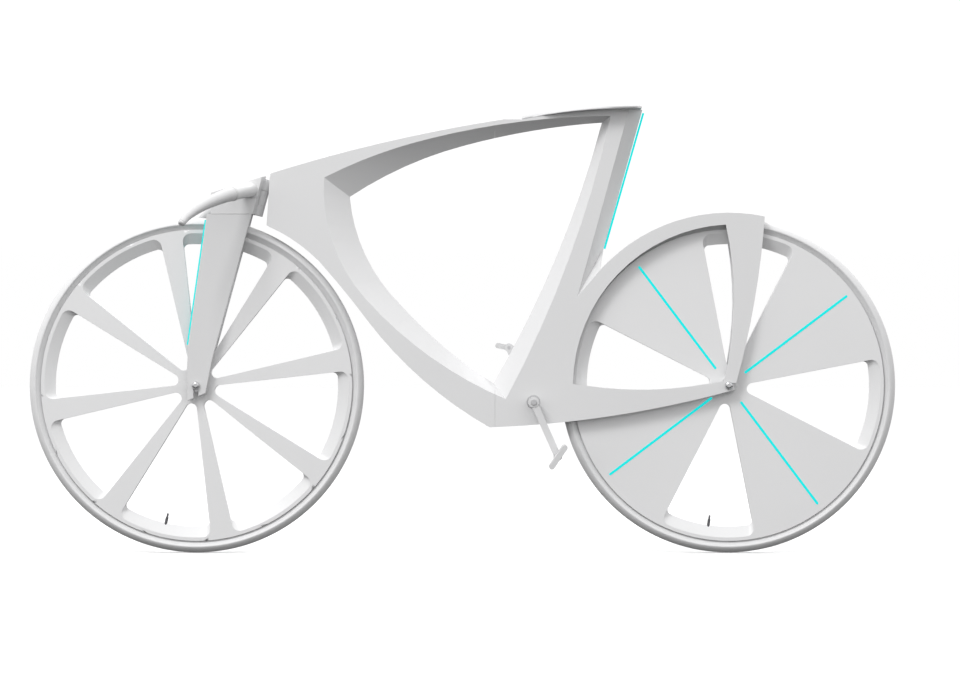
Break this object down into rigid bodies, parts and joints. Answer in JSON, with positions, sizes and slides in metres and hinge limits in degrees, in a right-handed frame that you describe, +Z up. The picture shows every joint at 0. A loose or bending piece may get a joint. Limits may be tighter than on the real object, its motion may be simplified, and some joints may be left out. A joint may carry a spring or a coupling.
{
  "type": "folding bicycle",
  "caption": "Folding bicycle with plate-like wheels, a hollow triangular frame that folds sideways at its middle, a hidden shaft drive and light strips.",
  "frame": {"origin": "on the ground, halfway between the two axles, on the middle plane", "axes": "+X towards the rear wheel, +Y towards the rider's right side, +Z up"},
  "size_m": [1.76, 0.409, 0.909],
  "materials": {
    "painted_frame": "satin white paint over moulded fibre",
    "painted_alloy": "satin white paint",
    "painted_disc": "satin white paint",
    "white_tyre": "matt white rubber",
    "dark_plastic": "matt",
    "pad": "soft white cover",
    "grip_rubber": "matt white rubber",
    "cyan_light": "glowing light strip",
    "steel": "brushed",
    "dark_steel": "blackened",
    "bronze": "plain",
    "white_plastic": "satin",
    "battery_case": "matt"
  },
  "bodies": {
    "rear_half": {"rear_frame": "painted_frame", "seat_base": "white_plastic", "seat_pad": "pad", "mast_light": "cyan_light", "light_battery": "battery_case", "crank_bearings": "steel", "drive_cover": "painted_alloy", "shaft_bushes": "bronze", "rear_axle": "dark_steel", "rear_axle_nuts": "steel", "fold_pins": "steel"},
    "front_half": {"front_frame": "painted_frame", "steering_bushes": "bronze"},
    "latch": {"latch_bolt": "steel", "latch_knob": "dark_plastic"},
    "steering": {"steering_pin": "steel", "stem_block": "painted_alloy", "crown_block": "painted_alloy", "stem_bolts": "dark_steel", "crown_bolts": "dark_steel", "fork_blade_left": "painted_alloy", "fork_blade_right": "painted_alloy", "fork_light_left": "cyan_light", "fork_light_right": "cyan_light", "front_axle": "dark_steel", "front_axle_nuts": "steel", "handlebar_left": "painted_alloy", "handlebar_right": "painted_alloy", "grip_left": "grip_rubber", "grip_right": "grip_rubber", "bar_end_plugs": "grip_rubber"},
    "wheel_front": {"front_wheel": "painted_frame", "front_tyre": "white_tyre", "front_bearings": "steel", "front_valve": "dark_plastic"},
    "wheel_rear": {"rear_wheel": "painted_disc", "rear_tyre": "white_tyre", "rear_bearings": "steel", "rear_valve": "dark_plastic", "wheel_lights": "cyan_light"},
    "crankset": {"crank_axle": "steel", "crank_arm_left": "painted_alloy", "crank_arm_right": "painted_alloy", "crank_bolts": "steel", "crank_gear": "steel", "pedal_axles": "steel"},
    "pedal_l": {"pedal_left": "white_plastic"},
    "pedal_r": {"pedal_right": "white_plastic"},
    "shaft": {"drive_shaft": "steel", "shaft_pinions": "bronze"},
    "hub_drive": {"hub_gear": "steel"}
  },
  "joints": [
    {"name": "fold", "type": "hinge", "parent": "rear_half", "child": "front_half", "pos_m": [0.066, 0.043, 0.3], "axis": [0, 0, -1], "range_deg": [0, 160]},
    {"name": "latch_slide", "type": "slide", "parent": "front_half", "child": "latch", "axis": [0, 0, 1], "range_m": [0, 0.016]},
    {"name": "steer", "type": "hinge", "parent": "front_half", "child": "steering", "pos_m": [-0.409, 0, 0.72], "axis": [0.2588, 0, 0.9659], "range_deg": [-24, 24]},
    {"name": "front_spin", "type": "hinge", "parent": "steering", "child": "wheel_front", "pos_m": [-0.54, 0, 0.34], "axis": [0, -1, 0], "continuous": true},
    {"name": "rear_spin", "type": "hinge", "parent": "rear_half", "child": "wheel_rear", "pos_m": [0.54, 0, 0.34], "axis": [0, -1, 0], "continuous": true},
    {"name": "crank_spin", "type": "hinge", "parent": "rear_half", "child": "crankset", "pos_m": [0.144, 0, 0.3065], "axis": [0, -1, 0], "continuous": true},
    {"name": "pedal_left_spin", "type": "hinge", "parent": "crankset", "child": "pedal_l", "pos_m": [0.19281, -0.1, 0.19687], "axis": [0, -1, 0], "continuous": true},
    {"name": "pedal_right_spin", "type": "hinge", "parent": "crankset", "child": "pedal_r", "pos_m": [0.09519, 0.1, 0.41613], "axis": [0, -1, 0], "continuous": true},
    {"name": "shaft_spin", "type": "hinge", "parent": "rear_half", "child": "shaft", "pos_m": [0.144, 0.0245, 0.3065], "axis": [0.9964, 0, 0.0843], "continuous": true},
    {"name": "hub_spin", "type": "hinge", "parent": "rear_half", "child": "hub_drive", "pos_m": [0.54, 0, 0.34], "axis": [0, -1, 0], "continuous": true}
  ],
  "couplings": [
    {"joint": "shaft_spin", "follows": "crank_spin", "ratio": 3.6667},
    {"joint": "hub_spin", "follows": "crank_spin", "ratio": 1.32}
  ]
}
